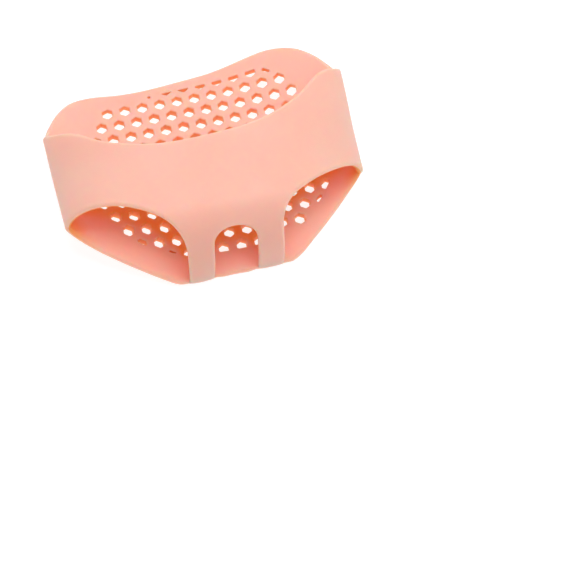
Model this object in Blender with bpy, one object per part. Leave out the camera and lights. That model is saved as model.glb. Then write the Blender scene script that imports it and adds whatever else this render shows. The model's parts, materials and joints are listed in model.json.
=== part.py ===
# A forefoot sleeve moulded in one piece of soft silicone: a pierced sole pad, a plain band that
# wraps over the foot, and two straps that part three toe openings at the front.
# Metres, +Z up. Toes point to -Y. The sleeve lies on its sole pad as it does by itself.
import bpy
import numpy as np

# Sole pad
SOLE_REAR = 0.0335             # rear edge, behind the middle of the pad
LOBE_REAR = 0.0350             # rear edge at the two rounded rear lobes
SOLE_FRONT = 0.0325            # front edge between the straps
STRAP_FRONT = 0.0332           # front edge where the straps come down
FLAT_HALF_WIDTH = 0.0270       # half of the flat underside, before the sides curl up
SOLE_THICKNESS = 0.0033
WALL = 0.0019                  # band, straps and the pad's rim

# Side folds, where the pad turns over into the band
FOLD_REAR_HALF_WIDTH = 0.0451
FOLD_TAPER = 0.0007            # how much narrower the front is
FOLD_FRONT_HALF_WIDTH = FOLD_REAR_HALF_WIDTH - FOLD_TAPER
FOLD_REAR = 0.0196
FOLD_FRONT = 0.0131
FOLD_HEIGHT = 0.0085           # of the widest point of the fold
LOBE_CURL = 0.45               # share of that height that is left at the rear lobes
FRONT_CURL = 0.65              # share of it that is left at the front corners
CURL_START = 0.0137            # from here back the fold gets lower
CURL_LENGTH = 0.0319

# Band over the foot
BAND_HEIGHT = 0.0245
BAND_REAR = 0.0014             # rear edge over the middle of the foot
SHOULDER_START = 0.0190        # from here forward the band bends down to the toes
ARCH_WIDTH_POWER = 2.15        # fullness of the arch, sideways and upwards
ARCH_HEIGHT_POWER = 2.10

# Straps and toe openings
STRAP_WIDTH = 0.0078
STRAP_SPACING = 0.0204
STRAP_SHIFT = 0.0014           # the straps stand a little towards the inner side of the foot
STRAP_DROP = 0.0032            # the straps begin this far behind the pad's front edge
STRAP_TOP = STRAP_FRONT - STRAP_DROP
MIDDLE_OPENING_TOP = 0.0270
SIDE_OPENING_TOP = 0.0126
OUTER_OPENING_INSET = 0.0016   # its corner stands this far inside the fold
OUTER_OPENING_POWER = 2.1      # how fast its edge leaves the fold
OUTER_OPENING_TURN = 0.66      # how it turns into the strap
INNER_OPENING_INSET = 0.0030
INNER_OPENING_POWER = 1.0
INNER_OPENING_TURN = 0.46

# Shape of one foot, and how the soft part lies
REAR_SKEW = 0.0044             # the edges run further back on the inner side
FRONT_SKEW = 0.0015
LOBE_LIFT = 0.0060             # the inner rear lobe curls up from the surface
CORNER_LIFT = 0.0070           # so does the outer front corner
LIFT_START = 0.0050            # sideways from the middle
CORNER_LIFT_START = 0.0095     # the corner lifts from here forward
CORNER_LIFT_LENGTH = 0.0254

# Honeycomb of holes
HOLE_PITCH = 0.0053
HOLE_WIDTH = 0.0030
HOLE_ROWS = 13
HOLES_MIDDLE = 0.0031
HOLES_SHIFT = -0.0007
PATTERN_HALF_WIDTH = 0.0338
PATTERN_REAR = 0.0302
PATTERN_FRONT = 0.0256
PATTERN_SKEW = 0.0024          # its outline runs further back on the inner side
SMALLEST_HOLE = 0.99           # share of a whole hole; cut-off ones at the border stay closed

# Fineness of the solid: rows, and places of its columns on fold, band, side and middle opening
SOLE_ROWS = 11
STRAP_ROWS = 5
STRAP_COLUMNS = 4
FOLD_COLUMNS = [1.2, 1.4, 1.6, 1.8, 2.0, 2.15, 2.3]
SIDE_OPENING_COLUMNS = np.array([0.95, 0.75, 0.55, 0.38, 0.23, 0.11, 0.03])
MIDDLE_OPENING_COLUMNS = np.array([-0.93, -0.7, -0.35, 0.0, 0.35, 0.7, 0.93])

# How high the hole cutters reach over the pad, as shares of the fold's height and of the lifts
CUT_FOLD_SHARE = 0.7
CUT_LIFT_SHARE = 0.6

# Rear edge: place around the section (0 sole middle, 1 end of the flat, 2 widest point of the
# fold, 3 top of the band) and share of the way from its first named size to its second
SOLE_REAR_EDGE = np.array([(0.0, 0.00), (0.5, 0.19), (0.7, 0.50), (1.0, 1.00)])
LOBE_REAR_EDGE = np.array([(1.0, 0.00), (1.3, 0.12), (1.5, 0.38), (1.7, 0.70), (2.0, 1.00)])
BAND_REAR_EDGE = np.array([(2.0, 0.00), (2.2, 0.11), (2.4, 0.26), (2.6, 0.66), (2.8, 0.93), (3.0, 1.00)])
# Share of the rear skew that each place takes
REAR_SKEW_SHARE = np.array([(0.0, 1.00), (0.7, 1.00), (1.4, 0.27), (2.0, 0.27), (2.5, 0.55), (3.0, 0.55)])
# Front edge of the pad, from the straps to the fold, on the outer and the inner side
OUTER_FRONT_EDGE = np.array([(0.45, 0.00), (0.6, 0.05), (0.75, 0.16), (1.0, 0.37), (1.3, 0.63),
                             (1.5, 0.79), (1.7, 0.92), (2.0, 1.00)])
INNER_FRONT_EDGE = np.array([(0.6, 0.00), (0.75, 0.08), (1.0, 0.34), (1.3, 0.66), (1.5, 0.85),
                             (1.7, 0.98), (2.0, 1.06)])
# Outline of the pierced field: share of its half width, share of its rear or front reach
FIELD_OUTLINE = np.array([(0.00, 1.00), (0.62, 1.00), (0.83, 0.88), (0.95, 0.64), (1.00, 0.20),
                          (1.00, -0.20), (0.95, -0.47), (0.82, -0.66), (0.65, -0.82),
                          (0.44, -0.94), (0.20, -1.00), (0.00, -1.00)])

SILICONE_COLOUR = (0.93, 0.50, 0.38, 1.0)


def clear_scene():
    for thing in list(bpy.data.objects):
        bpy.data.objects.remove(thing, do_unlink=True)


def silicone():
    material = bpy.data.materials.new("skin_silicone")
    material.use_nodes = True
    shader = material.node_tree.nodes["Principled BSDF"]
    shader.inputs["Base Color"].default_value = SILICONE_COLOUR
    shader.inputs["Roughness"].default_value = 0.45
    shader.inputs["Metallic"].default_value = 0.0
    return material


def ease(share):
    """Smooth step from 0 to 1."""
    share = np.clip(share, 0.0, 1.0)
    return share * share * (3.0 - 2.0 * share)


def curve(places, table):
    """Smooth curve through the rows (place, value) of a table, level at both ends."""
    knots = table[:, 0]
    values = table[:, 1]
    gaps = np.diff(knots)
    rises = np.diff(values) / gaps
    slopes = np.zeros(len(knots))
    slopes[1:-1] = (rises[:-1] * gaps[1:] + rises[1:] * gaps[:-1]) / (gaps[:-1] + gaps[1:])
    places = np.clip(places, knots[0], knots[-1])
    left = np.clip(np.searchsorted(knots, places, side="right") - 1, 0, len(knots) - 2)
    gap = gaps[left]
    t = (places - knots[left]) / gap
    start = values[left] * (1 + 2 * t) * (1 - t) ** 2 + slopes[left] * gap * t * (1 - t) ** 2
    end = values[left + 1] * t * t * (3 - 2 * t) + slopes[left + 1] * gap * t * t * (t - 1)
    return start + end


def half_width(y):
    """Half of the sleeve's width at a station along the foot."""
    along = (y + FOLD_FRONT) / (FOLD_REAR + FOLD_FRONT)
    return FOLD_FRONT_HALF_WIDTH + (FOLD_REAR_HALF_WIDTH - FOLD_FRONT_HALF_WIDTH) * along


def place_for_x(x):
    """Place on the band, 2 to 3, of a distance x from the middle."""
    share = np.clip(np.abs(x) / FOLD_FRONT_HALF_WIDTH, 0.0, 1.0)
    return 2.0 + np.arccos(share ** (ARCH_WIDTH_POWER / 2)) / (np.pi / 2)


def section(place, y):
    """Outer skin: flat sole, quarter ellipse up the fold, fuller quarter ellipse over the top."""
    around = np.abs(place)
    width = half_width(y)
    to_lobe = ease((y - CURL_START) / CURL_LENGTH)
    to_front = ease((FOLD_FRONT - y) / (2.0 * FOLD_FRONT))
    fold = FOLD_HEIGHT * (1.0 - (1.0 - LOBE_CURL) * to_lobe) * (1.0 - (1.0 - FRONT_CURL) * to_front)
    turn = np.clip(around - 1.0, 0.0, 1.0) * np.pi / 2
    rise = np.clip(around - 2.0, 0.0, 1.0) * np.pi / 2
    x_sole = around * FLAT_HALF_WIDTH
    x_fold = FLAT_HALF_WIDTH + (width - FLAT_HALF_WIDTH) * np.sin(turn)
    x_band = width * np.clip(np.cos(rise), 0.0, 1.0) ** (2 / ARCH_WIDTH_POWER)
    z_fold = fold * (1.0 - np.cos(turn))
    z_band = fold + (BAND_HEIGHT - fold) * np.sin(rise) ** (2 / ARCH_HEIGHT_POWER)
    forward = np.clip((-y - SHOULDER_START) / (STRAP_FRONT - SHOULDER_START), 0.0, 1.0)
    z_band = z_band * np.sqrt(1.0 - forward ** 2)
    x = np.where(around <= 1.0, x_sole, np.where(around <= 2.0, x_fold, x_band))
    z = np.where(around <= 1.0, 0.0, np.where(around <= 2.0, z_fold, z_band))
    return np.stack([np.sign(place) * x, y, z], axis=-1)


def strap_edges():
    """The x of the left and right edge of each strap, left strap first."""
    middles = (STRAP_SHIFT - STRAP_SPACING / 2, STRAP_SHIFT + STRAP_SPACING / 2)
    return [(middle - STRAP_WIDTH / 2, middle + STRAP_WIDTH / 2) for middle in middles]


def skew(place, y, amount):
    x = section(place, y)[..., 0]
    return amount * x / FOLD_REAR_HALF_WIDTH


def rear_edge(place):
    """The y of the sheet's rear edge all the way round."""
    around = np.abs(place)
    sole = SOLE_REAR + (LOBE_REAR - SOLE_REAR) * curve(around, SOLE_REAR_EDGE)
    lobe = LOBE_REAR + (FOLD_REAR - LOBE_REAR) * curve(around, LOBE_REAR_EDGE)
    band = FOLD_REAR + (BAND_REAR - FOLD_REAR) * curve(around, BAND_REAR_EDGE)
    y = np.where(around <= 1.0, sole, np.where(around <= 2.0, lobe, band))
    return y + skew(place, y * 0.0, REAR_SKEW * curve(around, REAR_SKEW_SHARE))


def sole_front_edge(place):
    """The y of the pad's front edge: nearly straight between the straps, then slanting back."""
    x = np.abs(place) * FLAT_HALF_WIDTH
    between = ease(x / (STRAP_SPACING / 2))
    front = -(SOLE_FRONT + (STRAP_FRONT - SOLE_FRONT) * between)
    around = np.abs(place)
    back = np.where(place > 0, curve(around, INNER_FRONT_EDGE), curve(around, OUTER_FRONT_EDGE))
    first = np.where(place > 0, INNER_FRONT_EDGE[0, 0], OUTER_FRONT_EDGE[0, 0])
    side = -STRAP_FRONT + (STRAP_FRONT - FOLD_FRONT) * back
    y = np.where(around <= first, front, side)
    return y + skew(place, y * 0.0, FRONT_SKEW)


def band_front_edge(place, x):
    """The y of the band's front edge: the tops of the three toe openings, and of the straps."""
    (outer_left, inner_left), (inner_right, outer_right) = strap_edges()
    middle = (inner_left + inner_right) / 2
    reach = (inner_right - inner_left) / 2
    across = np.clip(np.abs(x - middle) / reach, 0.0, 1.0)
    arch = MIDDLE_OPENING_TOP + (STRAP_TOP - MIDDLE_OPENING_TOP) * (1 - np.sqrt(1 - across ** 2))
    outer = np.where(x > 0, outer_right, -outer_left)
    reach = FOLD_FRONT_HALF_WIDTH - np.where(x > 0, INNER_OPENING_INSET, OUTER_OPENING_INSET)
    power = np.where(x > 0, INNER_OPENING_POWER, OUTER_OPENING_POWER)
    turn = np.where(x > 0, INNER_OPENING_TURN, OUTER_OPENING_TURN)
    inward = np.clip((reach - np.abs(x)) / (reach - outer), 0.0, 1.0)
    turned = 1 - (1 - inward ** power) ** turn
    sweep = SIDE_OPENING_TOP + (STRAP_TOP - SIDE_OPENING_TOP) * turned
    on_middle = (x > inner_left) & (x < inner_right)
    outside = (x < outer_left) | (x > outer_right)
    y = -np.where(on_middle, arch, np.where(outside, sweep, STRAP_TOP))
    return y + np.where(outside, skew(place, y * 0.0, FRONT_SKEW), 0.0)


def lie(points):
    """The inner rear lobe and the outer front corner lift, as the soft part lies."""
    x = points[..., 0]
    y = points[..., 1]
    across = FOLD_REAR_HALF_WIDTH - LIFT_START
    rear = ease((x - LIFT_START) / across) * ease(y / SOLE_REAR)
    front = ease((-x - LIFT_START) / across) * ease((CORNER_LIFT_START - y) / CORNER_LIFT_LENGTH)
    lifted = points.copy()
    lifted[..., 2] += LOBE_LIFT * rear + CORNER_LIFT * front
    return lifted


def side_places(sign):
    """Places of the columns on one side, from the sole's middle to the band's middle."""
    edges = strap_edges()
    near, far = (edges[1][0], edges[1][1]) if sign > 0 else (-edges[0][1], -edges[0][0])
    strap = np.linspace(near, far, STRAP_COLUMNS)
    sole = np.concatenate([strap, np.linspace(far, FLAT_HALF_WIDTH, STRAP_COLUMNS)[1:]]) / FLAT_HALF_WIDTH
    reach = FOLD_FRONT_HALF_WIDTH - (INNER_OPENING_INSET if sign > 0 else OUTER_OPENING_INSET)
    sweep = far + (reach - far) * SIDE_OPENING_COLUMNS
    band = place_for_x(np.concatenate([sweep, strap[::-1]]))
    return sign * np.concatenate([sole, FOLD_COLUMNS, band])


def columns():
    """Places of all columns round the sleeve, and where each strap meets pad and band."""
    right = side_places(1.0)
    left = side_places(-1.0)
    (_, inner_left), (inner_right, _) = strap_edges()
    arch_x = (inner_left + inner_right) / 2 + (inner_right - inner_left) / 2 * MIDDLE_OPENING_COLUMNS
    arch = np.sign(arch_x) * place_for_x(arch_x)
    sole_middle = np.array([0.0])
    places = np.concatenate([sole_middle, right, arch[::-1], left[::-1]])
    first_right = 1
    last_left = len(places) - 1
    after_right = first_right + len(right)
    before_left = len(places) - len(left) - 1
    straps = []
    for step in range(STRAP_COLUMNS):
        straps.append((first_right + step, after_right - 1 - step, last_left - step, before_left + 1 + step))
    return places, np.array(straps)


def sheet():
    """Outer skin as points (column, row) from front edge to rear edge, and its columns."""
    places, straps = columns()
    on_band = np.abs(places) > 2.0
    at_front = section(places, np.full(len(places), -FOLD_FRONT))[..., 0]
    front = np.where(on_band, band_front_edge(places, at_front), sole_front_edge(places))
    rear = rear_edge(places)
    along = np.linspace(0.0, 1.0, SOLE_ROWS)
    y = front[:, None] + (rear - front)[:, None] * along
    grid = section(np.repeat(places[:, None], SOLE_ROWS, axis=1), y)
    return places, straps, grid, along


def inward_normals(grid):
    """Unit vectors from the outer skin to the inner one, from the grid's own slopes."""
    around = np.roll(grid, -1, axis=0) - np.roll(grid, 1, axis=0)
    along = np.gradient(grid, axis=1)
    normals = np.cross(along, around)
    return -normals / np.linalg.norm(normals, axis=-1, keepdims=True)


def wall_thickness(places, along):
    """Thick in the middle of the pad, thinning to the wall at its rim and at the folds."""
    across = 1.0 - np.clip(np.abs(places) / 2.0, 0.0, 1.0) ** 2
    lengthways = 1.0 - (2.0 * along - 1.0) ** 4
    return WALL + (SOLE_THICKNESS - WALL) * across[:, None] * lengthways[None, :]


def strap_rows(top, bottom):
    """Points of one strap between the band's edge and the pad's edge, a falling quarter ellipse."""
    start = np.arcsin((STRAP_TOP - SHOULDER_START) / (STRAP_FRONT - SHOULDER_START))
    turn = np.linspace(start, np.pi / 2, STRAP_ROWS + 1)[1:-1]
    down = (np.sin(turn) - np.sin(start)) / (1.0 - np.sin(start))
    fall = np.cos(turn) / np.cos(start)
    rows = top[None] + (bottom - top)[None] * down[:, None, None]
    rows[..., 2] = top[None, :, 2] * fall[:, None]
    return rows


def closed_mesh(outer, inner, quads):
    """Outer and inner skin of a sheet joined by walls along every free edge."""
    count = len(outer)
    edges = np.concatenate([quads[:, [0, 1]], quads[:, [1, 2]], quads[:, [2, 3]], quads[:, [3, 0]]])
    keys = np.sort(edges, axis=1)
    _, first, uses = np.unique(keys, axis=0, return_index=True, return_counts=True)
    free = edges[first[uses == 1]]
    walls = np.stack([free[:, 1], free[:, 0], free[:, 0] + count, free[:, 1] + count], axis=1)
    faces = np.concatenate([quads, quads[:, ::-1] + count, walls])
    return np.concatenate([outer, inner]), faces


def sleeve_mesh():
    """The whole sheet: sole, folds, band and straps, before the holes are cut."""
    places, straps, grid, along = sheet()
    columns_count, rows_count = grid.shape[:2]
    inward = inward_normals(grid) * wall_thickness(places, along)[..., None]
    index = np.arange(columns_count * rows_count).reshape(columns_count, rows_count)
    after = np.roll(index, -1, axis=0)
    tube = np.stack([index[:, :-1], index[:, 1:], after[:, 1:], after[:, :-1]], axis=-1).reshape(-1, 4)
    outer = [grid.reshape(-1, 3)]
    offsets = [inward.reshape(-1, 3)]
    quads = [tube]
    used = columns_count * rows_count
    left_strap = (straps[::-1, 2], straps[::-1, 3])
    for bottom_columns, top_columns in ((straps[:, 0], straps[:, 1]), left_strap):
        top = grid[top_columns, 0]
        bottom = grid[bottom_columns, 0]
        middle = strap_rows(top, bottom)
        rows = np.concatenate([top[None], middle, bottom[None]])
        slope = np.gradient(rows, axis=0)
        across = np.gradient(rows, axis=1)
        normal = np.cross(slope, across)
        normal /= np.linalg.norm(normal, axis=-1, keepdims=True)
        normal *= np.where(normal[..., 1:2] < 0, -1.0, 1.0)
        offsets.append((normal[1:-1] * WALL).reshape(-1, 3))
        inward[bottom_columns, 0] += np.array([0.0, WALL, 0.0])
        outer.append(middle.reshape(-1, 3))
        new = used + np.arange(middle.shape[0] * middle.shape[1]).reshape(middle.shape[:2])
        used += new.size
        lattice = np.concatenate([index[top_columns, 0][None], new, index[bottom_columns, 0][None]])
        quads.append(np.stack([lattice[:-1, :-1], lattice[1:, :-1], lattice[1:, 1:], lattice[:-1, 1:]],
                              axis=-1).reshape(-1, 4))
    offsets[0] = inward.reshape(-1, 3)
    outer = np.concatenate(outer)
    inner = outer + np.concatenate(offsets)
    return closed_mesh(lie(outer), lie(inner), np.concatenate(quads))


def clip(polygon, start, end):
    """Part of a polygon on the left of the line from start to end."""
    side = (end[0] - start[0]) * (polygon[:, 1] - start[1]) - (end[1] - start[1]) * (polygon[:, 0] - start[0])
    kept = []
    for here in range(len(polygon)):
        after = (here + 1) % len(polygon)
        if side[here] >= 0:
            kept.append(polygon[here])
        if side[here] * side[after] < 0:
            share = side[here] / (side[here] - side[after])
            kept.append(polygon[here] + (polygon[after] - polygon[here]) * share)
    return np.array(kept).reshape(-1, 2)


def area(polygon):
    x = polygon[:, 0]
    y = polygon[:, 1]
    return 0.5 * abs(np.dot(x, np.roll(y, -1)) - np.dot(y, np.roll(x, -1)))


def field_outline():
    """Convex outline of the pierced field, anticlockwise."""
    reach = np.where(FIELD_OUTLINE[:, 1] > 0, PATTERN_REAR, PATTERN_FRONT)
    right = np.stack([FIELD_OUTLINE[:, 0] * PATTERN_HALF_WIDTH, FIELD_OUTLINE[:, 1] * reach], axis=1)
    left = right[::-1] * np.array([-1.0, 1.0])
    outline = np.concatenate([right[::-1], left[::-1][1:-1]])
    outline[:, 1] += PATTERN_SKEW * outline[:, 0] / FOLD_REAR_HALF_WIDTH
    return outline


def hole_outlines():
    """Hexagons in rows across the foot, each cut off where it leaves the pierced field."""
    corner = HOLE_WIDTH / np.sqrt(3.0)
    angles = np.radians(90.0 + 60.0 * np.arange(6))
    hexagon = np.stack([np.cos(angles), np.sin(angles)], axis=1) * corner
    row_gap = HOLE_PITCH * np.sqrt(3.0) / 2
    outline = field_outline()
    half_count = int(PATTERN_HALF_WIDTH / HOLE_PITCH) + 2
    found = []
    for row in range(HOLE_ROWS):
        y = HOLES_MIDDLE + (row - (HOLE_ROWS - 1) / 2) * row_gap
        offset = HOLE_PITCH / 2 * (row % 2)
        for step in range(-half_count, half_count + 1):
            hole = hexagon + np.array([HOLES_SHIFT + offset + step * HOLE_PITCH, y])
            for start, end in zip(outline, np.roll(outline, -1, axis=0)):
                if len(hole) < 3:
                    break
                hole = clip(hole, start, end)
            if len(hole) >= 3 and area(hole) > SMALLEST_HOLE * area(hexagon):
                found.append(hole)
    return found


def hole_cutter():
    """One upright prism for each hole, from below the pad to above it."""
    low = -SOLE_THICKNESS
    high = SOLE_THICKNESS + FOLD_HEIGHT * CUT_FOLD_SHARE + max(LOBE_LIFT, CORNER_LIFT) * CUT_LIFT_SHARE
    points = []
    faces = []
    for outline in hole_outlines():
        first = len(points)
        count = len(outline)
        points += [(x, y, low) for x, y in outline] + [(x, y, high) for x, y in outline]
        faces.append([first + step for step in range(count)][::-1])
        faces.append([first + count + step for step in range(count)])
        for step in range(count):
            after = (step + 1) % count
            faces.append([first + step, first + after, first + count + after, first + count + step])
    mesh = bpy.data.meshes.new("hole_cutter")
    mesh.from_pydata(points, [], faces)
    cutter = bpy.data.objects.new("hole_cutter", mesh)
    cutter.hide_render = True
    cutter.display_type = "WIRE"
    bpy.context.collection.objects.link(cutter)
    return cutter


def forefoot_sleeve():
    points, faces = sleeve_mesh()
    low = points.min(axis=0)
    high = points.max(axis=0)
    origin = np.array([(low[0] + high[0]) / 2, (low[1] + high[1]) / 2, low[2]])
    mesh = bpy.data.meshes.new("forefoot_sleeve")
    mesh.from_pydata((points - origin).tolist(), [], faces.tolist())
    mesh.materials.append(silicone())
    sleeve = bpy.data.objects.new("forefoot_sleeve", mesh)
    bpy.context.collection.objects.link(sleeve)
    cutter = hole_cutter()
    cutter.location = -origin
    cut = sleeve.modifiers.new("holes", "BOOLEAN")
    cut.operation = "DIFFERENCE"
    cut.solver = "EXACT"
    cut.object = cutter
    mesh.shade_smooth()
    mesh.set_sharp_from_angle(angle=np.radians(35.0))
    return sleeve


clear_scene()
forefoot_sleeve()
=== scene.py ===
import json
import math

import bpy
import numpy as np
from mathutils import Matrix, Vector
from mathutils.geometry import delaunay_2d_cdt

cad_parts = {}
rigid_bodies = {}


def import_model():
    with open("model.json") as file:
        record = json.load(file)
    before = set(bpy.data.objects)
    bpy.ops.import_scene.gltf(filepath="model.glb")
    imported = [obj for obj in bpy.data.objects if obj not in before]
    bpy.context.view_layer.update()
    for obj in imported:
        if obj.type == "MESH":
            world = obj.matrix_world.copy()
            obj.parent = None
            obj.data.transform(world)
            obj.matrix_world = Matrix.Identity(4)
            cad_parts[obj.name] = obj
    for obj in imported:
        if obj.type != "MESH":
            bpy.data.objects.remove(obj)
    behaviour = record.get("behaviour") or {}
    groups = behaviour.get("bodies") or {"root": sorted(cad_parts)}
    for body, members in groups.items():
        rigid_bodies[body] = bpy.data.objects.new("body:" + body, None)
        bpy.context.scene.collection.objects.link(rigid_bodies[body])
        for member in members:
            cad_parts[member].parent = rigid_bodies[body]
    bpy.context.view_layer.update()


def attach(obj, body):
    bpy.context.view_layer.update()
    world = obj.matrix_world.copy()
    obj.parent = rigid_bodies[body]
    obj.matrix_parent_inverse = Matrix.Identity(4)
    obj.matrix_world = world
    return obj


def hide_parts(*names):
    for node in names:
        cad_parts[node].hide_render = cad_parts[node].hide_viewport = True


for thing in list(bpy.data.objects):
    bpy.data.objects.remove(thing)
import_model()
print("packed sleeve loaded")

# Everything is in metres: toes at -Y, sole pad on the floor, band over the foot.
# A place runs round the sleeve: 0 sole middle, 1 end of the flat, 2 widest point of the fold,
# 3 top of the band; its sign is the side.
sleeve = {
    "soleRear": 0.0335, "lobeRear": 0.0350, "soleFront": 0.0325, "strapFront": 0.0332,
    "flatHalfWidth": 0.0270, "soleThickness": 0.0033, "wall": 0.0019,
    "foldRearHalfWidth": 0.0451, "foldFrontHalfWidth": 0.0444, "foldRear": 0.0196, "foldFront": 0.0131,
    "foldHeight": 0.0085, "frontCurl": 0.65, "lobeCurl": 0.45, "curlStart": 0.0137, "curlLength": 0.0319,
    "bandHeight": 0.0245, "bandRear": 0.0014, "shoulderStart": 0.0190,
    "archWidthPower": 2.15, "archHeightPower": 2.10,
    "strapWidth": 0.0078, "strapSpacing": 0.0204, "strapShift": 0.0014, "strapTop": 0.0300,
    "middleOpeningTop": 0.0270, "sideOpeningTop": 0.0126,
    "outerOpeningInset": 0.0016, "outerOpeningPower": 2.1, "outerOpeningTurn": 0.66,
    "innerOpeningInset": 0.0030, "innerOpeningPower": 1.0, "innerOpeningTurn": 0.46,
    "rearSkew": 0.0044, "frontSkew": 0.0015,
    "lobeLift": 0.0060, "cornerLift": 0.0070, "liftStart": 0.0050,
    "cornerLiftStart": 0.0095, "cornerLiftLength": 0.0254,
    "rimRound": 0.97,            # share of the half wall that the rim's rounding takes
    "rootReach": 0.0034, "rootSoftness": 0.6, "rootRounds": 40,    # smoothing where a strap meets the pad
    "bodyShift": (-0.000025, -0.001619, 0.0),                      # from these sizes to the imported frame
}
# the edges: place, and share of the way from one named size to the next
soleRearEdge = [(0.0, 0.00), (0.5, 0.19), (0.7, 0.50), (1.0, 1.00)]
lobeRearEdge = [(1.0, 0.00), (1.3, 0.12), (1.5, 0.38), (1.7, 0.70), (2.0, 1.00)]
bandRearEdge = [(2.0, 0.00), (2.2, 0.11), (2.4, 0.26), (2.6, 0.66), (2.8, 0.93), (3.0, 1.00)]
soleFrontOuter = [(0.45, 0.00), (0.6, 0.05), (0.75, 0.16), (1.0, 0.37), (1.3, 0.63), (1.5, 0.79), (1.7, 0.92),
                  (2.0, 1.00)]
soleFrontInner = [(0.6, 0.00), (0.75, 0.08), (1.0, 0.34), (1.3, 0.66), (1.5, 0.85), (1.7, 0.98), (2.0, 1.06)]
# share of the rear skew that each place takes
rearSkewShare = [(0.0, 1.00), (0.7, 1.00), (1.4, 0.27), (2.0, 0.27), (2.5, 0.55), (3.0, 0.55)]

honeycomb = {
    "pitch": 0.0053, "holeWidth": 0.0030, "rows": 13, "middle": 0.0031, "shift": -0.0007,
    "halfColumns": 8,            # holes to each side of the middle, more than the field takes
    "smallest": 0.06,            # share of a whole hole; smaller slivers stay closed
    "cornerRound": 0.00026, "rimRound": 0.00042, "rimSteps": 3,
    "closestCorners": 0.0001, "straightTurn": 0.05, "insetShare": 0.8,
}
# outline of the pierced field as seen from above, anticlockwise; the holes at it are cut off
fieldOutline = [
    (0.0020, -0.0256), (0.0120, -0.0254), (0.0205, -0.0230), (0.0250, -0.0205), (0.0312, -0.0145),
    (0.0349, -0.0100), (0.0355, 0.0000), (0.0355, 0.0100), (0.0338, 0.0217), (0.0302, 0.0264),
    (0.0240, 0.0312), (-0.0200, 0.0292), (-0.0282, 0.0262), (-0.0309, 0.0217), (-0.0334, 0.0120),
    (-0.0342, 0.0000), (-0.0338, -0.0100), (-0.0308, -0.0145), (-0.0240, -0.0200), (-0.0165, -0.0234),
    (-0.0110, -0.0253),
]

# painted glow and shade: how orange the holes' walls get as painted light passing through them, and the hollow
# under the band as painted shade, and over which places and distances
paintedGlowAndShadeReach = {
    "holes": 0.62, "hollow": 0.75, "foldFrom": 1.3, "foldOver": 0.6, "rimFrom": 0.001, "rimOver": 0.020,
    "bandTo": -0.004, "bandOver": 0.006, "underFrom": 0.002, "underOver": 0.005,
    "padTo": 0.002, "padOver": 0.010,
}

fineness = {
    "rimRings": 6, "middleRows": 46, "strapRows": 26, "padSpacing": 0.0013, "padClear": 0.55,
    "blockPlace": 1.55,          # the grid gives way to the honeycomb's fill out to this place
    "steepest": 5.0,             # most that rim rows are drawn out where an edge runs lengthways
    "innerColumns": 6, "flatColumns": 8, "foldColumns": 25, "bandColumns": 10, "archColumns": 33,
    "strapRim": 0.0009, "strapInset": 0.0016, "firstColumn": (0.0012, 0.0024), "strapClear": 0.0004,
}
besideStrap = [0.0003, 0.0007, 0.0012, 0.0019, 0.0028, 0.0039]
openingShares = [0.0015, 0.004, 0.008, 0.014, 0.022, 0.032, 0.045, 0.062, 0.083, 0.11, 0.14, 0.175, 0.215, 0.26,
                 0.31, 0.36, 0.42, 0.48, 0.54, 0.61, 0.68, 0.75, 0.82, 0.88, 0.93, 0.97, 1.0, 1.03]


def ease(share):
    # smooth step: 3 s^2 - 2 s^3, held at 0 and 1 outside
    share = np.clip(share, 0.0, 1.0)
    return share * share * (3.0 - 2.0 * share)


def smoothCurve(places, table):
    # cubic through the table's rows, slope at each = mean of its neighbours' slopes weighted by gap
    knots, values = np.array(table).T
    gaps = np.diff(knots)
    rises = np.diff(values) / gaps
    slopes = np.zeros(len(knots))
    slopes[1:-1] = (rises[:-1] * gaps[1:] + rises[1:] * gaps[:-1]) / (gaps[:-1] + gaps[1:])
    places = np.clip(places, knots[0], knots[-1])
    left = np.clip(np.searchsorted(knots, places, side="right") - 1, 0, len(knots) - 2)
    gap = gaps[left]
    t = (places - knots[left]) / gap
    start = values[left] * (1 + 2 * t) * (1 - t) ** 2 + slopes[left] * gap * t * (1 - t) ** 2
    end = values[left + 1] * t * t * (3 - 2 * t) + slopes[left + 1] * gap * t * t * (t - 1)
    return start + end


def halfWidthAt(y):
    # straight line between the fold's front and rear half widths
    along = (y + sleeve["foldFront"]) / (sleeve["foldRear"] + sleeve["foldFront"])
    return sleeve["foldFrontHalfWidth"] + (sleeve["foldRearHalfWidth"] - sleeve["foldFrontHalfWidth"]) * along


def bandPlace(x):
    # inverse of the arch's width: 2 + acos((|x| / half width)^(power / 2)) / 90 degrees
    share = np.clip(np.abs(x) / sleeve["foldFrontHalfWidth"], 0.0, 1.0)
    return 2.0 + np.arccos(share ** (sleeve["archWidthPower"] / 2)) / (np.pi / 2)


def solePlace(x, y):
    # inverse of the sole's width: x / flat half width, then asin along the quarter ellipse of the fold
    flat = sleeve["flatHalfWidth"]
    beyond = np.clip((np.abs(x) - flat) / (halfWidthAt(y) - flat), 0.0, 1.0)
    place = np.where(np.abs(x) <= flat, np.abs(x) / flat, 1.0 + np.arcsin(beyond) / (np.pi / 2))
    return np.sign(x) * place


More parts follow.
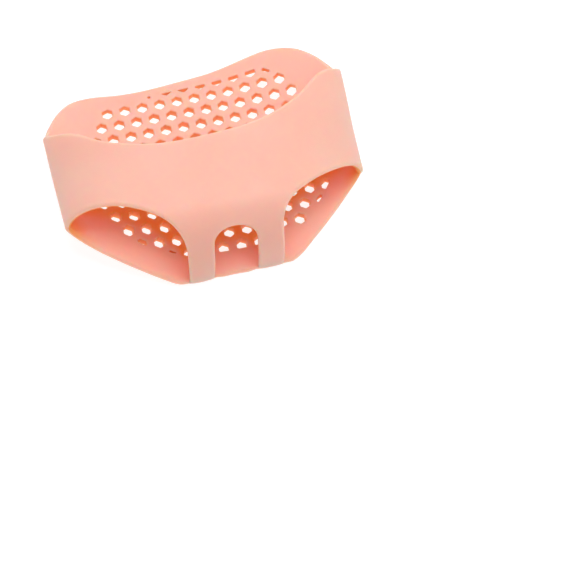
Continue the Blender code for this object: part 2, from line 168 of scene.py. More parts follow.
def sectionPoint(place, y):
    # outer skin: flat sole, quarter ellipse up the fold, superellipse over the foot,
    # all of it falling as a quarter circle in front of the shoulder
    around = np.abs(place)
    width = halfWidthAt(y)
    flat = sleeve["flatHalfWidth"]
    toLobe = ease((y - sleeve["curlStart"]) / sleeve["curlLength"])
    toFront = ease((sleeve["foldFront"] - y) / (2.0 * sleeve["foldFront"]) - 0.0)
    fold = sleeve["foldHeight"] * (1.0 - (1.0 - sleeve["lobeCurl"]) * toLobe)
    fold = fold * (1.0 - (1.0 - sleeve["frontCurl"]) * toFront)
    turn = np.clip(around - 1.0, 0.0, 1.0) * np.pi / 2
    rise = np.clip(around - 2.0, 0.0, 1.0) * np.pi / 2
    xFold = flat + (width - flat) * np.sin(turn)
    xBand = width * np.clip(np.cos(rise), 0.0, 1.0) ** (2 / sleeve["archWidthPower"])
    zFold = fold * (1.0 - np.cos(turn))
    zBand = fold + (sleeve["bandHeight"] - fold) * np.sin(rise) ** (2 / sleeve["archHeightPower"])
    shoulder = sleeve["strapFront"] - sleeve["shoulderStart"]
    forward = np.clip((-y - sleeve["shoulderStart"]) / shoulder, 0.0, 1.0)
    zBand = zBand * np.sqrt(1.0 - forward ** 2)
    x = np.where(around <= 1.0, around * flat, np.where(around <= 2.0, xFold, xBand))
    z = np.where(around <= 1.0, 0.0, np.where(around <= 2.0, zFold, zBand))
    return np.stack([np.sign(place) * x, y, z], axis=-1)


def lieSoftly(points):
    # the inner rear lobe and the outer front corner lift by smooth steps of x times y
    x, y = points[..., 0], points[..., 1]
    across = sleeve["foldRearHalfWidth"] - sleeve["liftStart"]
    rear = ease((x - sleeve["liftStart"]) / across) * ease(y / sleeve["soleRear"])
    front = ease((-x - sleeve["liftStart"]) / across) \
        * ease((sleeve["cornerLiftStart"] - y) / sleeve["cornerLiftLength"])
    lifted = points.copy()
    lifted[..., 2] += sleeve["lobeLift"] * rear + sleeve["cornerLift"] * front
    return lifted


def skinPoint(place, y):
    return lieSoftly(sectionPoint(place, y))


def skinNormal(place, y):
    # inward unit normal: cross product of the skin's two slopes, by small differences
    step, shift = 2e-4, 1e-5
    aroundSlope = skinPoint(place + step, y) - skinPoint(place - step, y)
    low = np.where(np.abs(place) > 2.0, np.maximum(y - shift, -sleeve["strapFront"] + 1e-6), y - shift)
    alongSlope = skinPoint(place, y + shift) - skinPoint(place, low)
    normal = np.cross(aroundSlope, alongSlope)
    length = np.linalg.norm(normal, axis=-1, keepdims=True)
    return normal / np.maximum(length, 1e-20)


def skewAt(place, amount):
    # edges run back on the inner side in proportion to x
    return amount * sectionPoint(place, place * 0.0)[..., 0] / sleeve["foldRearHalfWidth"]


def rearEdge(place):
    around = np.abs(place)
    s = sleeve
    sole = s["soleRear"] + (s["lobeRear"] - s["soleRear"]) * smoothCurve(around, soleRearEdge)
    lobe = s["lobeRear"] + (s["foldRear"] - s["lobeRear"]) * smoothCurve(around, lobeRearEdge)
    band = s["foldRear"] + (s["bandRear"] - s["foldRear"]) * smoothCurve(around, bandRearEdge)
    y = np.where(around <= 1.0, sole, np.where(around <= 2.0, lobe, band))
    return y + skewAt(place, s["rearSkew"] * smoothCurve(around, rearSkewShare))


def soleFrontLine(place):
    s = sleeve
    between = ease(np.abs(place) * s["flatHalfWidth"] / (s["strapSpacing"] / 2))
    front = -(s["soleFront"] + (s["strapFront"] - s["soleFront"]) * between)
    around = np.abs(place)
    back = np.where(place > 0, smoothCurve(around, soleFrontInner), smoothCurve(around, soleFrontOuter))
    start = np.where(place > 0, soleFrontInner[0][0], soleFrontOuter[0][0])
    side = -s["strapFront"] + (s["strapFront"] - s["foldFront"]) * back
    y = np.where(around <= start, front, side)
    return y + skewAt(place, s["frontSkew"])


def strapSides():
    s = sleeve
    middles = (s["strapShift"] - s["strapSpacing"] / 2, s["strapShift"] + s["strapSpacing"] / 2)
    return [(middle - s["strapWidth"] / 2, middle + s["strapWidth"] / 2) for middle in middles]


def bandFrontLine(place, x):
    # half ellipse over the middle opening, a superellipse sweep over each side one
    s = sleeve
    (outerLeft, innerLeft), (innerRight, outerRight) = strapSides()
    middle, reach = (innerLeft + innerRight) / 2, (innerRight - innerLeft) / 2
    across = np.clip(np.abs(x - middle) / reach, 0.0, 1.0)
    arch = s["middleOpeningTop"] + (s["strapTop"] - s["middleOpeningTop"]) * (1 - np.sqrt(1 - across ** 2))
    outer = np.where(x > 0, outerRight, -outerLeft)
    halfWidth = s["foldFrontHalfWidth"] - np.where(x > 0, s["innerOpeningInset"], s["outerOpeningInset"])
    power = np.where(x > 0, s["innerOpeningPower"], s["outerOpeningPower"])
    turn = np.where(x > 0, s["innerOpeningTurn"], s["outerOpeningTurn"])
    inward = np.clip((halfWidth - np.abs(x)) / (halfWidth - outer), 0.0, 1.0)
    turned = 1 - (1 - inward ** power) ** turn
    sweep = s["sideOpeningTop"] + (s["strapTop"] - s["sideOpeningTop"]) * turned
    onMiddle = (x > innerLeft) & (x < innerRight)
    outside = (x < outerLeft) | (x > outerRight)
    y = -np.where(onMiddle, arch, np.where(outside, sweep, s["strapTop"]))
    return y + np.where(outside, skewAt(place, s["frontSkew"]), 0.0)


def rimOffsets(radius):
    # distances from the rim at equal angles of its rounding: r (1 - cos angle)
    angle = np.linspace(0.0, np.pi / 2, fineness["rimRings"] + 1)
    return radius * (1.0 - np.cos(angle))


def sidePlaces(sign):
    # columns of one side, from the sole's middle round the fold to the band: close together at the
    # strap's two sides and at the opening's two ends, even elsewhere
    f = fineness
    flatEnd = sleeve["flatHalfWidth"]
    (outerLeft, innerLeft), (innerRight, outerRight) = strapSides()
    near, far = (innerRight, outerRight) if sign > 0 else (-innerLeft, -outerLeft)
    inset = sleeve["innerOpeningInset"] if sign > 0 else sleeve["outerOpeningInset"]
    rim = np.append(rimOffsets(f["strapRim"]), f["strapInset"])
    strap = np.concatenate([near + rim, [near + sleeve["strapWidth"] / 2], (far - rim)[::-1]])
    inner = np.linspace(f["firstColumn"][int(sign > 0)], near - f["strapClear"], f["innerColumns"])
    outer = far + np.array(besideStrap)
    flat = np.linspace(outer[-1] + f["padSpacing"], flatEnd, f["flatColumns"])
    sole = np.concatenate([inner, strap, outer, flat]) / flatEnd
    span = sleeve["foldFrontHalfWidth"] - inset - far
    band = bandPlace(np.concatenate([(far + span * np.array(openingShares))[::-1], strap[::-1]]))
    fold = np.concatenate([np.linspace(1.0, 2.0, f["foldColumns"])[1:],
                           np.linspace(2.0, band[0], f["bandColumns"])[1:-1]])
    return sign * np.concatenate([sole, fold, band]), len(inner), len(strap)


def makeColumns():
    # one list of places right round the sleeve, and each strap's columns below and above
    right, rightFirst, count = sidePlaces(1.0)
    left, leftFirst, _ = sidePlaces(-1.0)
    (_, innerLeft), (innerRight, _) = strapSides()
    middle, reach = (innerLeft + innerRight) / 2, (innerRight - innerLeft) / 2
    archX = middle + reach * np.sin(np.linspace(-1.0, 1.0, fineness["archColumns"])[1:-1] * np.pi / 2)
    arch = np.where(archX < 0, -1.0, 1.0) * bandPlace(archX)
    places = np.concatenate([[0.0], right, arch[::-1], left[::-1]])
    afterRight = 1 + len(right)
    beforeLeft = len(places) - len(left) - 1
    steps = np.arange(count)
    rightStrap = (1 + rightFirst + steps, afterRight - 1 - steps)
    leftStrap = (len(places) - 1 - leftFirst - steps, beforeLeft + 1 + steps)
    return places, rightStrap, leftStrap


def wallThickness(place, along):
    # thick in the middle of the pad: parabola across, fourth power lengthways
    across = 1.0 - np.clip(np.abs(place) / 2.0, 0.0, 1.0) ** 2
    lengthways = 1.0 - (2.0 * along - 1.0) ** 4
    return sleeve["wall"] + (sleeve["soleThickness"] - sleeve["wall"]) * across * lengthways


def tubeSheet():
    # grid (column, row) between front and rear edge; rows crowd towards both rims by their
    # rounding, stretched where the edge runs steeply
    places, rightStrap, leftStrap = makeColumns()
    onBand = np.abs(places) > 2.0
    atFront = sectionPoint(places, np.full(len(places), -sleeve["foldFront"]))[..., 0]
    front = np.where(onBand, bandFrontLine(places, atFront), soleFrontLine(places))
    rear = rearEdge(places)
    rings = rimOffsets(sleeve["wall"] / 2)
    length = rear - front
    frontPoints, rearPoints = skinPoint(places, front), skinPoint(places, rear)
    stretch = []
    for points in (frontPoints, rearPoints):
        run = np.roll(points, -1, axis=0) - np.roll(points, 1, axis=0)
        lengthways = np.abs(run[:, 1]) / np.maximum(np.linalg.norm(run[:, [0, 2]], axis=1), 1e-6)
        stretch.append(np.minimum(np.sqrt(1.0 + lengthways ** 2), fineness["steepest"]))
    frontShares = rings[None, :] * stretch[0][:, None] / length[:, None]
    rearShares = rings[None, :] * stretch[1][:, None] / length[:, None]
    middle = np.linspace(0.0, 1.0, fineness["middleRows"] + 2)[1:-1]
    lows, highs = frontShares[:, -1:], 1.0 - rearShares[:, -1:]
    along = np.concatenate([frontShares, lows + (highs - lows) * middle, (1.0 - rearShares)[:, ::-1]], axis=1)
    y = front[:, None] + length[:, None] * along
    place = np.repeat(places[:, None], along.shape[1], axis=1)
    return place, y, along, rightStrap, leftStrap


def strapSheet(place, y, outer, top, bottom):
    # rows between the band's edge and the pad's edge, a falling quarter circle of the shoulder
    s = sleeve
    start = math.asin((s["strapTop"] - s["shoulderStart"]) / (s["strapFront"] - s["shoulderStart"]))
    turn = np.linspace(start, np.pi / 2, fineness["strapRows"] + 1)[1:-1]
    down = (np.sin(turn) - math.sin(start)) / (1.0 - math.sin(start))
    fall = np.cos(turn) / math.cos(start)
    topPoints = sectionPoint(place[top, 0], y[top, 0])
    bottomPoints = sectionPoint(place[bottom, 0], y[bottom, 0])
    rows = topPoints[None] + (bottomPoints - topPoints)[None] * down[:, None, None]
    rows[..., 2] = topPoints[None, :, 2] * fall[:, None]
    rows = lieSoftly(rows)
    allRows = np.concatenate([outer[top, 0][None], rows, outer[bottom, 0][None]])
    normal = np.cross(np.gradient(allRows, axis=0), np.gradient(allRows, axis=1))
    normal /= np.maximum(np.linalg.norm(normal, axis=-1, keepdims=True), 1e-20)
    normal *= np.where(normal[..., 1:2] < 0, -1.0, 1.0)
    return rows, normal[1:-1]


def clipPolygon(polygon, start, end):
    # part of a polygon on the left of a line
    side = (end[0] - start[0]) * (polygon[:, 1] - start[1]) - (end[1] - start[1]) * (polygon[:, 0] - start[0])
    kept = []
    for here in range(len(polygon)):
        after = (here + 1) % len(polygon)
        if side[here] >= 0:
            kept.append(polygon[here])
        if side[here] * side[after] < 0:
            share = side[here] / (side[here] - side[after])
            kept.append(polygon[here] + (polygon[after] - polygon[here]) * share)
    return np.array(kept).reshape(-1, 2)


def polygonArea(polygon):
    x, y = polygon.T
    return 0.5 * abs(np.dot(x, np.roll(y, -1)) - np.dot(y, np.roll(x, -1)))


def holeShapes():
    # hexagons in rows across the foot, points towards heel and toes, cut off at the field's outline
    h = honeycomb
    corner = h["holeWidth"] / math.sqrt(3.0)
    angles = np.radians(90.0 + 60.0 * np.arange(6))
    hexagon = np.stack([np.cos(angles), np.sin(angles)], axis=1) * corner
    field = np.array(fieldOutline)
    found = []
    for row in range(h["rows"]):
        y = h["middle"] + (row - (h["rows"] - 1) / 2) * h["pitch"] * math.sqrt(3.0) / 2
        for step in range(-h["halfColumns"], h["halfColumns"] + 1):
            hole = hexagon + np.array([h["shift"] + h["pitch"] * (0.5 * (row % 2) + step), y])
            for start, end in zip(field, np.roll(field, -1, axis=0)):
                if len(hole) < 3:
                    break
                hole = clipPolygon(hole, start, end)
            if len(hole) >= 3 and polygonArea(hole) > h["smallest"] * polygonArea(hexagon):
                found.append(hole)
    return found


def tidyPolygon(polygon):
    # corners closer than the named distance become one, and corners that hardly turn go
    keep = [0]
    for here in range(1, len(polygon)):
        if np.linalg.norm(polygon[here] - polygon[keep[-1]]) > honeycomb["closestCorners"]:
            keep.append(here)
    if len(keep) > 3 and np.linalg.norm(polygon[keep[-1]] - polygon[0]) < honeycomb["closestCorners"]:
        keep.pop()
    polygon = polygon[keep]
    before, after = polygon - np.roll(polygon, 1, axis=0), np.roll(polygon, -1, axis=0) - polygon
    turned = before[:, 0] * after[:, 1] - before[:, 1] * after[:, 0]
    reach = np.linalg.norm(before, axis=1) * np.linalg.norm(after, axis=1)
    return polygon[turned >= honeycomb["straightTurn"] * reach]


def holeRings(polygon):
    # rings round one hole: the polygon drawn in by its corner rounding, then swept out again
    # with round corners, at distances r (1 - cos angle) from the hole's wall
    h = honeycomb
    polygon = tidyPolygon(polygon)
    count = len(polygon)
    if count < 3:
        return None
    edges = np.roll(polygon, -1, axis=0) - polygon
    lengths = np.linalg.norm(edges, axis=1)
    outward = np.stack([edges[:, 1], -edges[:, 0]], axis=1) / lengths[:, None]
    before = np.roll(outward, 1, axis=0)
    cross = before[:, 0] * outward[:, 1] - before[:, 1] * outward[:, 0]
    halfTurn = np.tan(np.arctan2(cross, np.sum(before * outward, axis=1)) / 2)
    widest = float(np.min(lengths / (halfTurn + np.roll(halfTurn, -1))))
    inset = min(h["cornerRound"], h["insetShare"] * widest)
    shift = np.sum(outward * polygon, axis=1) - inset
    shiftBefore = np.roll(shift, 1)
    corners = np.stack([(shiftBefore * outward[:, 1] - shift * before[:, 1]) / cross,
                        (shift * before[:, 0] - shiftBefore * outward[:, 0]) / cross], axis=1)
    startAngle = np.arctan2(before[:, 1], before[:, 0])
    turned = np.mod(np.arctan2(outward[:, 1], outward[:, 0]) - startAngle, 2 * np.pi)
    angles = startAngle[:, None] + turned[:, None] * np.array([0.0, 0.5, 1.0])
    fan = np.stack([np.cos(angles), np.sin(angles)], axis=-1)
    steps = np.linspace(0.0, np.pi / 2, h["rimSteps"] + 1)
    reach = inset + h["rimRound"] * (1.0 - np.cos(steps))
    atCorners = corners[None, :, None, :] + reach[:, None, None, None] * fan[None]
    following = np.roll(atCorners[:, :, 0], -1, axis=1)
    atSides = (atCorners[:, :, 2] + following) / 2
    rings = np.concatenate([atCorners, atSides[:, :, None]], axis=2).reshape(len(steps), -1, 2)
    return rings, steps


def nearestDistance(points, others, chunk=1500):
    # smallest distance from each point to any of the others
    found = np.empty(len(points))
    for start in range(0, len(points), chunk):
        part = points[start:start + chunk]
        found[start:start + chunk] = np.sqrt(((part[:, None] - others[None]) ** 2).sum(-1).min(1))
    return found


def edgeDistance(points, starts, ends, chunk=400):
    # smallest distance from each point to any straight piece of the free edges
    found = np.empty(len(points))
    run = ends - starts
    runSquared = np.maximum((run ** 2).sum(-1), 1e-20)
    for first in range(0, len(points), chunk):
        offset = points[first:first + chunk, None] - starts[None]
        share = np.clip((offset * run).sum(-1) / runSquared, 0.0, 1.0)
        gap = offset - share[..., None] * run
        found[first:first + chunk] = np.sqrt((gap ** 2).sum(-1).min(1))
    return found


def padFill(boundary, rings):
    # triangles between the pad block's border and the holes' outermost rings, with a lattice of
    # points between them
    spacing = fineness["padSpacing"]
    low, high = boundary.min(0), boundary.max(0)
    across = np.arange(low[0], high[0], spacing)
    lengthways = np.arange(low[1], high[1], spacing * math.sqrt(3) / 2)
    gx, gy = np.meshgrid(across, lengthways)
    gx = gx + (np.arange(len(lengthways)) % 2)[:, None] * spacing / 2
    lattice = np.stack([gx.ravel(), gy.ravel()], axis=1)
    fixed = np.concatenate([boundary] + rings)
    lattice = lattice[nearestDistance(lattice, fixed) > spacing * fineness["padClear"]]
    inside = np.zeros(len(lattice), bool)
    for a, b in zip(boundary, np.roll(boundary, -1, axis=0)):
        crosses = (a[1] > lattice[:, 1]) != (b[1] > lattice[:, 1])
        if crosses.any():
            at = a[0] + (lattice[:, 1] - a[1]) / (b[1] - a[1] + 1e-30) * (b[0] - a[0])
            inside ^= crosses & (lattice[:, 0] < at)
    owner = np.full(len(fixed), -1)
    edges = [(i, (i + 1) % len(boundary)) for i in range(len(boundary))]
    used = len(boundary)
    for number, ring in enumerate(rings):
        inHole = np.ones(len(lattice), bool)
        for a, b in zip(ring, np.roll(ring, -1, axis=0)):
            inHole &= (b[0] - a[0]) * (lattice[:, 1] - a[1]) - (b[1] - a[1]) * (lattice[:, 0] - a[0]) > 0
        inside &= ~inHole
        owner[used:used + len(ring)] = number
        edges += [(used + i, used + (i + 1) % len(ring)) for i in range(len(ring))]
        used += len(ring)
    points = np.concatenate([fixed, lattice[inside]])
    owner = np.concatenate([owner, np.full(int(inside.sum()), -1)])
    # triangulated in millimetres, inside the border only; faces with all corners on one hole go
    made = delaunay_2d_cdt([Vector(p * 1000.0) for p in points], edges, [], 1, 1e-5)
    original = np.array([o[0] if o else -1 for o in made[3]])
    triangles = original[np.array(made[2])]
    owners = owner[triangles]
    inHole = (owners[:, 0] >= 0) & (owners[:, 0] == owners[:, 1]) & (owners[:, 1] == owners[:, 2])
    triangles = triangles[~inHole]
    a, b, c = points[triangles[:, 0]], points[triangles[:, 1]], points[triangles[:, 2]]
    turn = (b - a)[:, 0] * (c - a)[:, 1] - (b - a)[:, 1] * (c - a)[:, 0]
    triangles[turn > 0] = triangles[turn > 0][:, ::-1]
    return points, triangles


def smoothPart(points, edges, weight, rounds):
    # each marked point moves towards the mean of its neighbours, by its weight, again and again
    degree = np.bincount(edges.ravel(), minlength=len(points))[:, None]
    for _ in range(rounds):
        total = np.zeros_like(points)
        for axis in range(3):
            total[:, axis] = np.bincount(edges[:, 0], points[edges[:, 1], axis], len(points)) \
                + np.bincount(edges[:, 1], points[edges[:, 0], axis], len(points))
        points = points + (total / np.maximum(degree, 1) - points) * weight[:, None]
    return points


def paintedGlowAndShadeShares(points, total, holePoint, gap, tubePlace):
    # share of the painted glow and shade at each point: even painted glow on the holes' walls; inside the band
    # the painted glow falls off with the distance from the front rim, and on the pad painted shade grows under
    # the band's front edge
    g = paintedGlowAndShadeReach
    paintedGlowAndShade = np.tile(np.where(holePoint, g["holes"], 0.0), 2)
    inside = points[total:]
    onBand = np.zeros(total)
    onBand[:len(tubePlace)] = ease((np.abs(tubePlace) - g["foldFrom"]) / g["foldOver"])
    nearRim = onBand * ease(1.0 - (gap - g["rimFrom"]) / g["rimOver"]) \
        * ease((g["bandTo"] - inside[:, 1]) / g["bandOver"])
    frontLine = bandFrontLine(np.where(inside[:, 0] < 0, -2.5, 2.5), inside[:, 0])
    under = (1.0 - onBand) * ease((inside[:, 1] - frontLine - g["underFrom"]) / g["underOver"]) \
        * ease((g["padTo"] - inside[:, 1]) / g["padOver"])
    under = np.where(holePoint | (np.abs(inside[:, 0]) > sleeve["foldFrontHalfWidth"]), 0.0, under)
    paintedGlowAndShade[total:] = np.maximum(paintedGlowAndShade[total:], g["hollow"] * np.maximum(nearRim, under))
    return paintedGlowAndShade


def openBlock(places, index):
    # the pad block between the rim rows leaves the grid: its border in order, and the faces left
    block = np.abs(places) <= fineness["blockPlace"]
    columns = np.concatenate([np.nonzero(block & (places < 0))[0], np.nonzero(block & (places >= 0))[0]])
    rimRows = fineness["rimRings"] + 1
    rows = np.arange(rimRows, index.shape[1] - rimRows)
    border = np.concatenate([index[columns, rows[0]], index[columns[-1], rows[1:-1]],
                             index[columns[::-1], rows[-1]], index[columns[0], rows[::-1][1:-1]]])
    cell = np.zeros(index.shape, bool)
    cell[np.ix_(columns, rows)] = True
    inBlock = cell & np.roll(cell, -1, axis=0)
    inBlock = inBlock[:, :-1] & inBlock[:, 1:]
    following = np.roll(index, -1, axis=0)
    faces = np.stack([index[:, :-1], index[:, 1:], following[:, 1:], following[:, :-1]], axis=-1)
    return border, faces[~inBlock]


def faceEdges(quads, triangles):
    # every side of every face, as pairs of point numbers
    return np.concatenate([quads[:, [0, 1]], quads[:, [1, 2]], quads[:, [2, 3]], quads[:, [3, 0]],
                           triangles[:, [0, 1]], triangles[:, [1, 2]], triangles[:, [2, 0]]])


def makeSleeve():
    # outer skin, inner skin and the walls at rims and holes, in one closed mesh
    place, y, along, rightStrap, leftStrap = tubeSheet()
    columnCount, rowCount = place.shape
    tubePlaces = place[:, 0].copy()
    outer = skinPoint(place, y)
    normal = skinNormal(place, y)
    thickness = wallThickness(place, along)
    index = np.arange(columnCount * rowCount).reshape(columnCount, rowCount)
    border, tube = openBlock(tubePlaces, index)
    # the honeycomb is laid out on the flat, x and y as seen from above
    flatSkin = sectionPoint(place, y).reshape(-1, 3)[:, :2]
    rings = [found for found in map(holeRings, holeShapes()) if found is not None]
    outerRings = [found[0][-1] for found in rings]
    print("holes and slivers:", len(rings))
    flatPoints, triangles = padFill(flatSkin[border], outerRings)

    outerList, normalList = [outer.reshape(-1, 3)], [normal.reshape(-1, 3)]
    thicknessList, halfList = [thickness.ravel()], [thickness.ravel() / 2]
    faces = [tube]
    used = outer.shape[0] * outer.shape[1]

    # straps, and the pad's rim under each pushed in by one wall
    straps = []
    pushIn = np.zeros((columnCount, rowCount, 3))
    for bottom, top in (rightStrap, (leftStrap[0][::-1], leftStrap[1][::-1])):
        rowsMade, normalsMade = strapSheet(place, y, outer, top, bottom)
        new = used + np.arange(rowsMade.shape[0] * rowsMade.shape[1]).reshape(rowsMade.shape[:2])
        used += new.size
        outerList.append(rowsMade.reshape(-1, 3))
        normalList.append(normalsMade.reshape(-1, 3))
        thicknessList.append(np.full(new.size, sleeve["wall"]))
        halfList.append(np.full(new.size, sleeve["wall"] / 2))
        lattice = np.concatenate([index[top, 0][None], new, index[bottom, 0][None]])
        faces.append(np.stack([lattice[:-1, :-1], lattice[1:, :-1], lattice[1:, 1:], lattice[:-1, 1:]],
                              axis=-1).reshape(-1, 4))
        pushIn[bottom, 0] = np.array([0.0, sleeve["wall"], 0.0])
        straps.append(lattice)

    # fill of the pad and the holes' rims
    borderCount = len(border)
    newFlat = flatPoints[borderCount:]
    remap = np.concatenate([border, used + np.arange(len(newFlat))])
    triangles = remap[triangles]
    ringStarts = used + np.cumsum([0] + [len(r) for r in outerRings[:-1]])
    used += len(newFlat)
    flatParts = [newFlat]
    halfShare = [np.full(len(newFlat), np.nan)]
    holeStrips, holeWalls = [], []
    radius = honeycomb["rimRound"]
    for (ringSet, steps), start in zip(rings, ringStarts):
        count = ringSet.shape[1]
        inner = used + np.arange((len(steps) - 1) * count).reshape(len(steps) - 1, count)
        used += inner.size
        flatParts.append(ringSet[:-1].reshape(-1, 2))
        halfShare.append(np.repeat(radius * (1.0 - np.sin(steps[:-1])), count))
        levels = np.concatenate([inner, (start + np.arange(count))[None]])
        nextLevels = np.roll(levels, -1, axis=1)
        strip = np.stack([levels[:-1], nextLevels[:-1], nextLevels[1:], levels[1:]], axis=-1)
        holeStrips.append(strip.reshape(-1, 4))
        holeWalls.append(np.stack([levels[0], nextLevels[0]], axis=-1))
    flatAll = np.concatenate(flatParts)
    cut = np.concatenate(halfShare)
    px = solePlace(flatAll[:, 0], flatAll[:, 1])
    frontThere, rearThere = soleFrontLine(px), rearEdge(px)
    alongThere = np.clip((flatAll[:, 1] - frontThere) / (rearThere - frontThere), 0.0, 1.0)
    padThickness = wallThickness(px, alongThere)
    outerList.append(skinPoint(px, flatAll[:, 1]))
    normalList.append(skinNormal(px, flatAll[:, 1]))
    thicknessList.append(padThickness)
    halfList.append(padThickness / 2 - np.where(np.isnan(cut), 0.0, cut))

    outer = np.concatenate(outerList)
    normal = np.concatenate(normalList)
    thickness = np.concatenate(thicknessList)
    half = np.concatenate(halfList)
    quads = np.concatenate([faces[0].reshape(-1, 4)] + faces[1:] + holeStrips)
    push = np.zeros_like(outer)
    push[:index.size] = pushIn.reshape(-1, 3)

    # free edges are used by one face only; the rim's rounding takes those that no hole owns
    edges = faceEdges(quads, triangles)
    _, first, uses = np.unique(np.sort(edges, axis=1), axis=0, return_index=True, return_counts=True)
    free = edges[first[uses == 1]]
    print("edges used more than twice:", int((uses > 2).sum()), "free edges:", len(free))
    holePoint = np.zeros(len(outer), bool)
    for pair in holeWalls:
        holePoint[pair.ravel()] = True
    rim = free[~holePoint[free[:, 0]]]
    middlePoints = outer + normal * thickness[:, None] / 2 + push / 2
    gap = edgeDistance(middlePoints, middlePoints[rim[:, 0]], middlePoints[rim[:, 1]])
    radius = sleeve["wall"] / 2 * sleeve["rimRound"]
    rounding = radius - np.sqrt(np.maximum(radius ** 2 - np.clip(radius - gap, 0.0, radius) ** 2, 0.0))
    half = half - rounding
    outerSkin = middlePoints - normal * half[:, None] - push / 2
    innerSkin = middlePoints + normal * half[:, None] + push / 2

    total = len(outer)
    points = np.concatenate([outerSkin, innerSkin])
    walls = np.stack([free[:, 1], free[:, 0], free[:, 0] + total, free[:, 1] + total], axis=1)
    quads = np.concatenate([quads, quads[:, ::-1] + total, walls])
    triangles = np.concatenate([triangles, triangles[:, ::-1] + total])

    # soft roots of the straps, where the skins are smoothed into the pad's rim
    edges = np.unique(np.sort(faceEdges(quads, triangles), axis=1), axis=0)
    away = nearestDistance(points, np.concatenate([outer[lattice[-1]] for lattice in straps]))
    weight = sleeve["rootSoftness"] * ease(1.0 - away / sleeve["rootReach"])
    points = smoothPart(points, edges, weight, sleeve["rootRounds"])

    # points inside the cut block belong to no face and go
    used = np.zeros(len(points), bool)
    used[quads.ravel()] = True
    used[triangles.ravel()] = True
    renumber = np.cumsum(used) - 1

    # painted glow and shade: orange shares for the holes' walls and the hollow under the band
    paintedGlowAndShade = paintedGlowAndShadeShares(points, total, holePoint, gap, np.repeat(tubePlaces, rowCount))
    return points[used], renumber[quads], renumber[triangles], paintedGlowAndShade[used]


def meshPiece(name, points, quads, triangles, material):
    # numpy arrays straight into a mesh, all faces smooth
    mesh = bpy.data.meshes.new(name)
    mesh.vertices.add(len(points))
    mesh.vertices.foreach_set("co", points.astype(np.float32).ravel())
    loops = np.concatenate([quads.ravel(), triangles.ravel()]).astype(np.int32)
    starts = np.concatenate([np.arange(len(quads)) * 4, len(quads) * 4 + np.arange(len(triangles)) * 3])
    mesh.loops.add(len(loops))
    mesh.loops.foreach_set("vertex_index", loops)
    mesh.polygons.add(len(starts))
    mesh.polygons.foreach_set("loop_start", starts.astype(np.int32))
    mesh.polygons.foreach_set("use_smooth", np.ones(len(starts), bool))
    mesh.update(calc_edges=True)
    mesh.validate()
    mesh.materials.append(material)
    piece = bpy.data.objects.new(name, mesh)
    bpy.context.scene.collection.objects.link(piece)
    return piece


# the deep orange colour is painted glow and shade, not a tone of the silicone itself
silicone = {
    "colour": (0.97, 0.48, 0.38, 1.0), "paler": (0.99, 0.55, 0.46, 1.0), "paintedGlowAndShadeColour": (1.0, 0.34, 0.02, 1.0),
    "roughness": 0.50, "scatter": 1.0, "scatterRadius": (1.0, 0.38, 0.18), "scatterScale": 0.0060,
    "clouds": 55.0, "cloudDetail": 3.0, "grain": 900.0, "grainDetail": 4.0,
    "bump": 0.00006, "bumpStrength": 0.5, "roughSpread": 0.06, "specular": 0.35, "ior": 1.41,
}


def addNode(tree, kind, where, **inputs):
    node = tree.nodes.new(kind)
    node.location = where
    for name, value in inputs.items():
        node.inputs[name].default_value = value
    return node


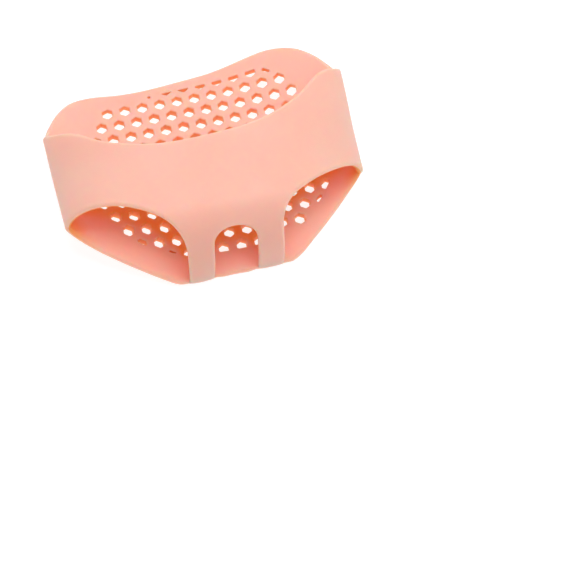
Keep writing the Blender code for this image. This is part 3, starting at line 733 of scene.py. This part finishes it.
def softSilicone():
    # pink silicone: soft clouds of a paler tone, a fine moulded grain, light passing under the skin, and orange
    # painted glow and shade laid on from a point attribute
    material = bpy.data.materials.new("softSilicone")
    material.use_nodes = True
    tree = material.node_tree
    shader = tree.nodes["Principled BSDF"]
    shader.inputs["Subsurface Weight"].default_value = silicone["scatter"]
    shader.inputs["Subsurface Radius"].default_value = silicone["scatterRadius"]
    shader.inputs["Subsurface Scale"].default_value = silicone["scatterScale"]
    shader.inputs["Specular IOR Level"].default_value = silicone["specular"]
    shader.inputs["IOR"].default_value = silicone["ior"]
    where = addNode(tree, "ShaderNodeTexCoord", (-1100, 0))
    clouds = addNode(tree, "ShaderNodeTexNoise", (-880, 220), Scale=silicone["clouds"],
                     Detail=silicone["cloudDetail"])
    tone = addNode(tree, "ShaderNodeMix", (-420, 220))
    tone.data_type = "RGBA"
    tone.inputs["A"].default_value = silicone["colour"]
    tone.inputs["B"].default_value = silicone["paler"]
    tree.links.new(where.outputs["Object"], clouds.inputs["Vector"])
    tree.links.new(clouds.outputs["Fac"], tone.inputs["Factor"])
    # the painted glow and shade attribute says how much of the orange painted glow and shade colour each point
    # takes
    paintedGlowAndShade = tree.nodes.new("ShaderNodeAttribute")
    paintedGlowAndShade.location = (-700, 480)
    paintedGlowAndShade.attribute_name = "paintedGlowAndShade"
    paintedGlowAndShadeMix = addNode(tree, "ShaderNodeMix", (-200, 320))
    paintedGlowAndShadeMix.data_type = "RGBA"
    paintedGlowAndShadeMix.inputs["B"].default_value = silicone["paintedGlowAndShadeColour"]
    tree.links.new(paintedGlowAndShade.outputs["Fac"], paintedGlowAndShadeMix.inputs["Factor"])
    tree.links.new(tone.outputs["Result"], paintedGlowAndShadeMix.inputs["A"])
    tree.links.new(paintedGlowAndShadeMix.outputs["Result"], shader.inputs["Base Color"])
    grain = addNode(tree, "ShaderNodeTexNoise", (-880, -120), Scale=silicone["grain"],
                    Detail=silicone["grainDetail"])
    rough = addNode(tree, "ShaderNodeMapRange", (-420, -60))
    rough.inputs["To Min"].default_value = silicone["roughness"] - silicone["roughSpread"]
    rough.inputs["To Max"].default_value = silicone["roughness"] + silicone["roughSpread"]
    bump = addNode(tree, "ShaderNodeBump", (-420, -340), Strength=silicone["bumpStrength"],
                   Distance=silicone["bump"])
    tree.links.new(where.outputs["Object"], grain.inputs["Vector"])
    tree.links.new(grain.outputs["Fac"], rough.inputs["Value"])
    tree.links.new(rough.outputs["Result"], shader.inputs["Roughness"])
    tree.links.new(grain.outputs["Fac"], bump.inputs["Height"])
    tree.links.new(bump.outputs["Normal"], shader.inputs["Normal"])
    return material


def dressSleeve():
    points, quads, triangles, paintedGlowAndShade = makeSleeve()
    points = points + np.array(sleeve["bodyShift"])
    piece = meshPiece("forefootSkin", points, quads, triangles, softSilicone())
    # the shares of painted glow and shade go on the mesh as a point attribute
    paintedGlowAndShadeLayer = piece.data.attributes.new("paintedGlowAndShade", "FLOAT", "POINT")
    paintedGlowAndShadeLayer.data.foreach_set("value", paintedGlowAndShade.astype(np.float32))
    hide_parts("forefoot_sleeve")
    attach(piece, "root")
    print("sleeve made:", len(points), "points,", 2 * len(quads) + len(triangles), "triangles")
    return piece


studio = {
    "floor": (0.30, 0.30, 0.30, 1.0), "floorGlow": 0.82, "world": (1.0, 1.0, 1.0, 1.0), "worldStrength": 0.42,
    "keyPlace": (0.05, 0.12, 0.60), "keySize": 0.45, "keyPower": 2.7,
    "fillPlace": (0.45, -0.30, 0.40), "fillSize": 0.40, "fillPower": 0.3,
    "floorHalf": 4.0, "floorRoughness": 0.9,
}


def makeStudio():
    # a wide pale floor, an even world, two soft area lights
    mesh = bpy.data.meshes.new("floor")
    half = studio["floorHalf"]
    corners = [(-half, -half, 0), (half, -half, 0), (half, half, 0), (-half, half, 0)]
    mesh.from_pydata(corners, [], [(0, 1, 2, 3)])
    floor = bpy.data.objects.new("floor", mesh)
    bpy.context.scene.collection.objects.link(floor)
    paint = bpy.data.materials.new("paleFloor")
    paint.use_nodes = True
    shader = paint.node_tree.nodes["Principled BSDF"]
    shader.inputs["Base Color"].default_value = studio["floor"]
    shader.inputs["Roughness"].default_value = studio["floorRoughness"]
    shader.inputs["Emission Color"].default_value = studio["world"]
    shader.inputs["Emission Strength"].default_value = studio["floorGlow"]
    mesh.materials.append(paint)
    world = bpy.data.worlds.new("studioLight")
    world.use_nodes = True
    sky = world.node_tree.nodes["Background"]
    sky.inputs["Color"].default_value = studio["world"]
    sky.inputs["Strength"].default_value = studio["worldStrength"]
    bpy.context.scene.world = world
    for name in ("key", "fill"):
        light = bpy.data.lights.new(name, "AREA")
        light.size = studio[name + "Size"]
        light.energy = studio[name + "Power"]
        lamp = bpy.data.objects.new(name, light)
        lamp.location = studio[name + "Place"]
        lamp.rotation_mode = "QUATERNION"
        lamp.rotation_quaternion = (-Vector(studio[name + "Place"])).to_track_quat("-Z", "Y")
        bpy.context.scene.collection.objects.link(lamp)
    bpy.context.scene.view_settings.view_transform = "Standard"


camera = {
    "azimuth": 15.9, "elevation": 61.1, "roll": 3.3, "distance": 0.500, "focal": 1697.0,
    "centreX": 220.1, "centreY": 163.4, "target": (0.004175, 0.000081, 0.0045), "frame": 568,
    "sensor": 36.0, "clipNear": 0.01, "clipFar": 20.0,
}


def makeCamera():
    # stands on the line through the target, then turns until the target lands on its pixel
    phi, e, roll = (math.radians(camera[k]) for k in ("azimuth", "elevation", "roll"))
    back = Vector((-math.sin(phi) * math.cos(e), -math.cos(phi) * math.cos(e), math.sin(e)))
    right = Vector((math.cos(phi), -math.sin(phi), 0.0))
    up = back.cross(right)
    rolledRight = right * math.cos(roll) + up * math.sin(roll)
    rolledUp = up * math.cos(roll) - right * math.sin(roll)
    offX = (camera["centreX"] - camera["frame"] / 2) / camera["focal"]
    offY = -(camera["centreY"] - camera["frame"] / 2) / camera["focal"]
    seen = Vector((offX, offY, -1.0)).normalized()
    turn = Vector((0.0, 0.0, -1.0)).rotation_difference(seen)
    base = Matrix((rolledRight, rolledUp, back)).transposed()
    data = bpy.data.cameras.new("photoCamera")
    data.sensor_width = camera["sensor"]
    data.lens = camera["focal"] / camera["frame"] * camera["sensor"]
    data.clip_start, data.clip_end = camera["clipNear"], camera["clipFar"]
    lens = bpy.data.objects.new("photoCamera", data)
    lens.rotation_mode = "QUATERNION"
    lens.location = Vector(camera["target"]) + back * camera["distance"]
    lens.rotation_quaternion = base.to_quaternion() @ turn.inverted()
    bpy.context.scene.collection.objects.link(lens)
    bpy.context.scene.camera = lens


dressSleeve()
makeStudio()
makeCamera()
print("studio and camera set")
